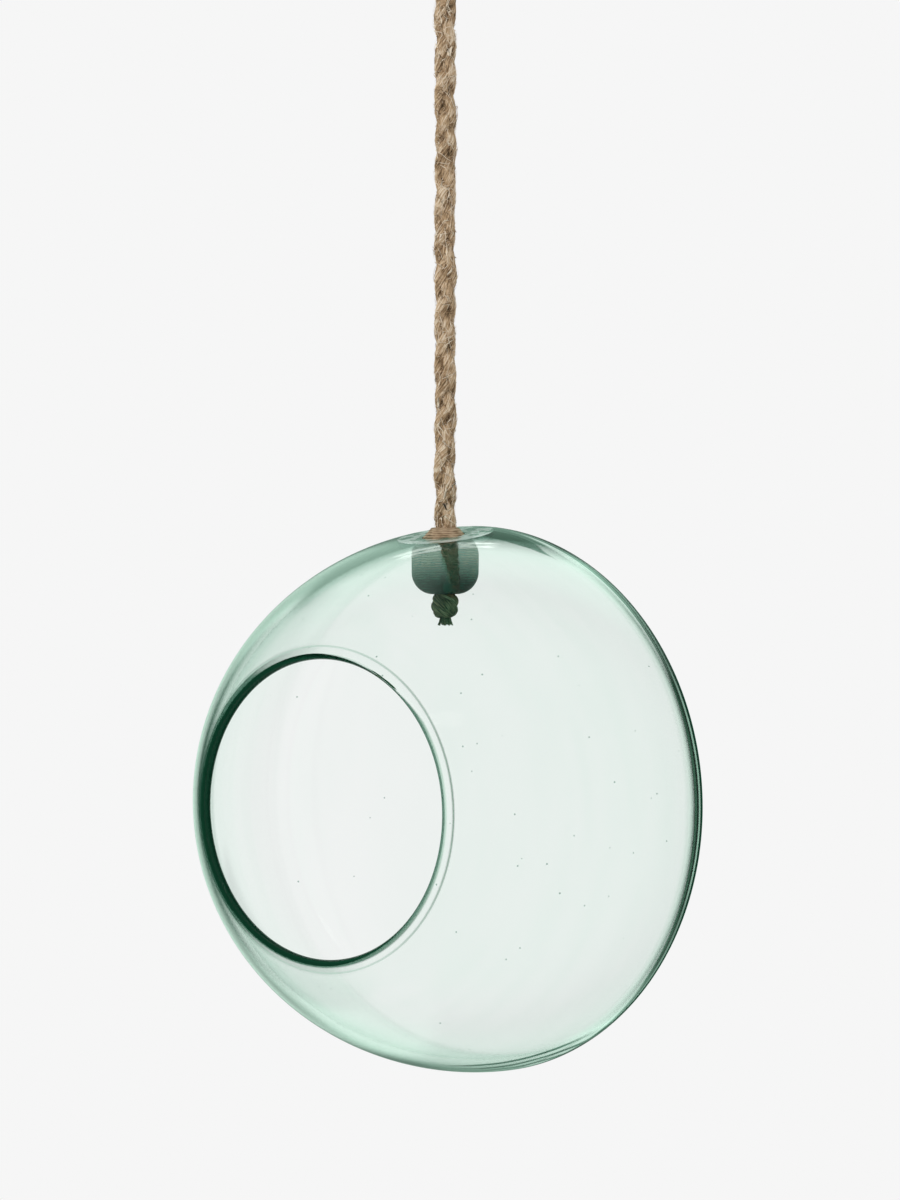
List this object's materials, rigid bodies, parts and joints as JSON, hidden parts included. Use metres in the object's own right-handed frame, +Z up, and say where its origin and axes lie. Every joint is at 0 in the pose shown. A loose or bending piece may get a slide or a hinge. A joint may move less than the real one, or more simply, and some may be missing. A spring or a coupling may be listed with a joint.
{
  "type": "hanging glass vase",
  "caption": "Hanging glass globe vase with a round mouth in its side, resting on a turned wooden stopper on a knotted rope with a loop to hang it by.",
  "frame": {"origin": "inside top of the rope's hanging loop, where a hook or peg carries the whole", "axes": "+Z up along the rope, -Y out of the globe's mouth, +X to the right as seen from the mouth"},
  "size_m": [0.23, 0.1385, 0.5705],
  "materials": {
    "glass": "clear pale green, polished",
    "wood": "turned, brown, unpolished",
    "rope": "plaited plant fibre, fuzzy"
  },
  "bodies": {
    "rope": {"rope_run": "rope", "end_knot": "rope", "rope_tail": "rope", "loop_knot": "rope", "hanging_loop": "rope"},
    "stopper": {"stopper": "wood"},
    "globe": {"globe": "glass"}
  },
  "joints": [
    {"name": "stopper_slide", "type": "slide", "parent": "rope", "child": "stopper", "axis": [0, 0, 1], "range_m": [0, 0.18]},
    {"name": "globe_swivel", "type": "hinge", "parent": "stopper", "child": "globe", "pos_m": [0, 0, -0.335], "axis": [0, 0, 1], "continuous": true}
  ]
}
